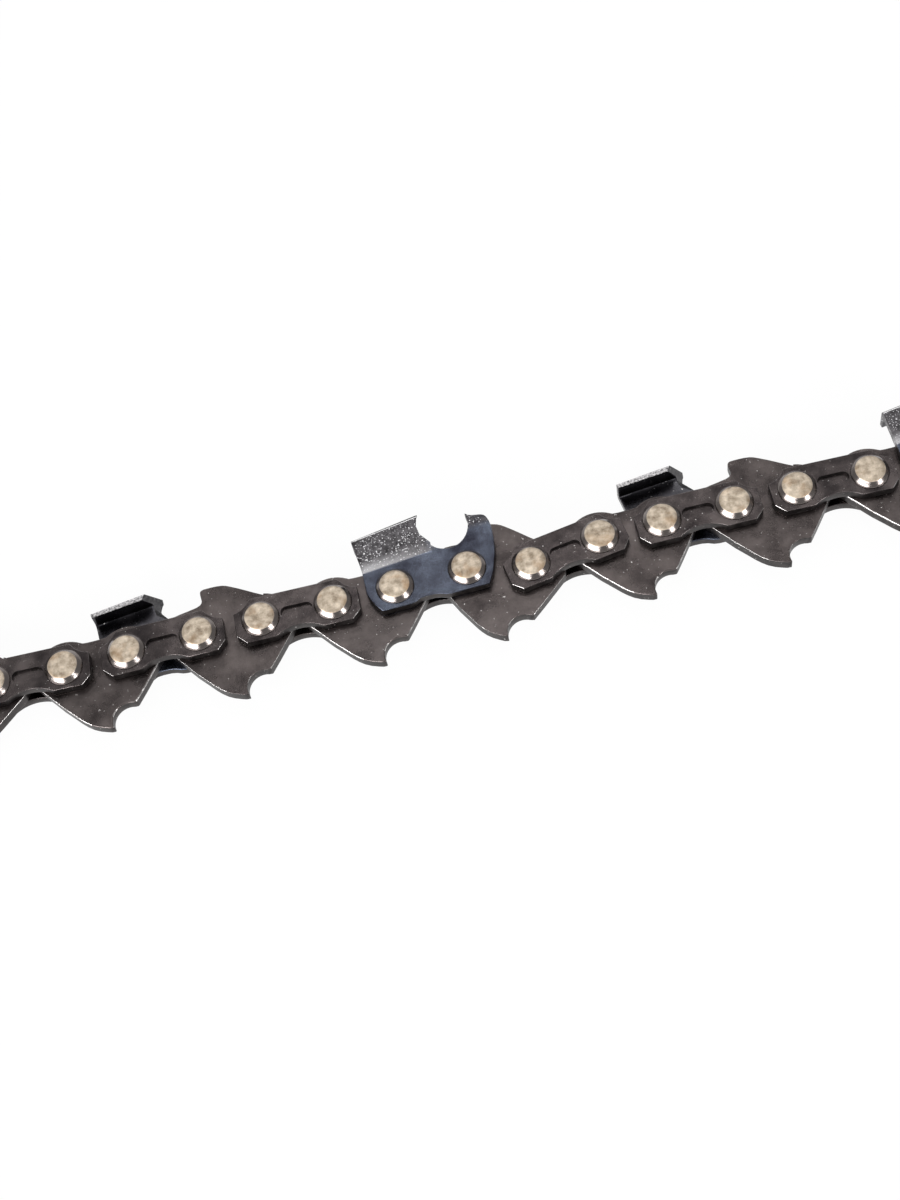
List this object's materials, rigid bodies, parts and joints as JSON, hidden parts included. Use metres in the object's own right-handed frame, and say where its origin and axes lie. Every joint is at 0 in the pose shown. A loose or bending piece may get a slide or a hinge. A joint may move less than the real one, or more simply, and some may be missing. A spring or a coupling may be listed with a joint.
{
  "type": "saw chain",
  "caption": "Length of saw chain with riveted drive links, tie straps and alternating left and right chisel cutters, open at both ends.",
  "frame": {"origin": "middle of the open rivet hole of the first drive link, half way through its thickness", "axes": "+X along the chain the way it cuts, +Y to the cutting side, +Z along the rivets"},
  "size_m": [0.1473, 0.0183, 0.0064],
  "materials": {
    "drive_steel": "oiled dark steel, satin to glossy",
    "strap_steel": "oiled brown-grey steel, glossy",
    "cutter_chrome": "hard-chromed steel, rough on the tooth",
    "rivet_steel": "bare steel, satin"
  },
  "bodies": {
    "drive_1": {"drive_link_1": "drive_steel"},
    "drive_2": {"drive_link_2": "drive_steel"},
    "drive_3": {"drive_link_3": "drive_steel"},
    "drive_4": {"drive_link_4": "drive_steel"},
    "drive_5": {"drive_link_5": "drive_steel"},
    "drive_6": {"drive_link_6": "drive_steel"},
    "drive_7": {"drive_link_7": "drive_steel"},
    "drive_8": {"drive_link_8": "drive_steel"},
    "drive_9": {"drive_link_9": "drive_steel"},
    "pair_1": {"tie_strap_1_upper": "strap_steel", "tie_strap_1_lower": "strap_steel", "rivet_1": "rivet_steel", "rivet_2": "rivet_steel"},
    "pair_2": {"tie_strap_2_upper": "strap_steel", "cutter_2_lower": "cutter_chrome", "rivet_3": "rivet_steel", "rivet_4": "rivet_steel"},
    "pair_3": {"tie_strap_3_upper": "strap_steel", "tie_strap_3_lower": "strap_steel", "rivet_5": "rivet_steel", "rivet_6": "rivet_steel"},
    "pair_4": {"cutter_4_upper": "cutter_chrome", "tie_strap_4_lower": "strap_steel", "rivet_7": "rivet_steel", "rivet_8": "rivet_steel"},
    "pair_5": {"tie_strap_5_upper": "strap_steel", "tie_strap_5_lower": "strap_steel", "rivet_9": "rivet_steel", "rivet_10": "rivet_steel"},
    "pair_6": {"tie_strap_6_upper": "strap_steel", "cutter_6_lower": "cutter_chrome", "rivet_11": "rivet_steel", "rivet_12": "rivet_steel"},
    "pair_7": {"tie_strap_7_upper": "strap_steel", "tie_strap_7_lower": "strap_steel", "rivet_13": "rivet_steel", "rivet_14": "rivet_steel"},
    "pair_8": {"cutter_8_upper": "cutter_chrome", "tie_strap_8_lower": "strap_steel", "rivet_15": "rivet_steel", "rivet_16": "rivet_steel"}
  },
  "joints": [
    {"name": "rivet_turn_9", "type": "hinge", "parent": "drive_5", "child": "pair_5", "pos_m": [0.07335, -0.00378, 0], "axis": [0, 0, -1], "range_deg": [-15, 19]},
    {"name": "rivet_turn_10", "type": "hinge", "parent": "pair_5", "child": "drive_6", "pos_m": [0.08211, -0.00247, 0], "axis": [0, 0, -1], "range_deg": [-15, 19]},
    {"name": "rivet_turn_11", "type": "hinge", "parent": "drive_6", "child": "pair_6", "pos_m": [0.08976, -0.0024, 0], "axis": [0, 0, -1], "range_deg": [-15, 19]},
    {"name": "rivet_turn_12", "type": "hinge", "parent": "pair_6", "child": "drive_7", "pos_m": [0.09862, -0.00256, 0], "axis": [0, 0, -1], "range_deg": [-15, 19]},
    {"name": "rivet_turn_13", "type": "hinge", "parent": "drive_7", "child": "pair_7", "pos_m": [0.10627, -0.00269, 0], "axis": [0, 0, -1], "range_deg": [-15, 19]},
    {"name": "rivet_turn_14", "type": "hinge", "parent": "pair_7", "child": "drive_8", "pos_m": [0.11512, -0.003, 0], "axis": [0, 0, -1], "range_deg": [-15, 19]},
    {"name": "rivet_turn_15", "type": "hinge", "parent": "drive_8", "child": "pair_8", "pos_m": [0.12277, -0.003, 0], "axis": [0, 0, -1], "range_deg": [-15, 19]},
    {"name": "rivet_turn_16", "type": "hinge", "parent": "pair_8", "child": "drive_9", "pos_m": [0.13163, -0.003, 0], "axis": [0, 0, -1], "range_deg": [-15, 19]},
    {"name": "rivet_turn_8", "type": "hinge", "parent": "drive_5", "child": "pair_4", "pos_m": [0.06586, -0.00219, 0], "axis": [0, 0, 1], "range_deg": [-15, 19]},
    {"name": "rivet_turn_7", "type": "hinge", "parent": "pair_4", "child": "drive_4", "pos_m": [0.057, -0.00227, 0], "axis": [0, 0, 1], "range_deg": [-15, 19]},
    {"name": "rivet_turn_6", "type": "hinge", "parent": "drive_4", "child": "pair_3", "pos_m": [0.04935, -0.00227, 0], "axis": [0, 0, 1], "range_deg": [-15, 19]},
    {"name": "rivet_turn_5", "type": "hinge", "parent": "pair_3", "child": "drive_3", "pos_m": [0.0405, -0.00203, 0], "axis": [0, 0, 1], "range_deg": [-15, 19]},
    {"name": "rivet_turn_4", "type": "hinge", "parent": "drive_3", "child": "pair_2", "pos_m": [0.03285, -0.0019, 0], "axis": [0, 0, 1], "range_deg": [-15, 19]},
    {"name": "rivet_turn_3", "type": "hinge", "parent": "pair_2", "child": "drive_2", "pos_m": [0.02399, -0.0019, 0], "axis": [0, 0, 1], "range_deg": [-15, 19]},
    {"name": "rivet_turn_2", "type": "hinge", "parent": "drive_2", "child": "pair_1", "pos_m": [0.01634, -0.0019, 0], "axis": [0, 0, 1], "range_deg": [-15, 19]},
    {"name": "rivet_turn_1", "type": "hinge", "parent": "pair_1", "child": "drive_1", "pos_m": [0.00748, -0.00159, 0], "axis": [0, 0, 1], "range_deg": [-15, 19]}
  ]
}
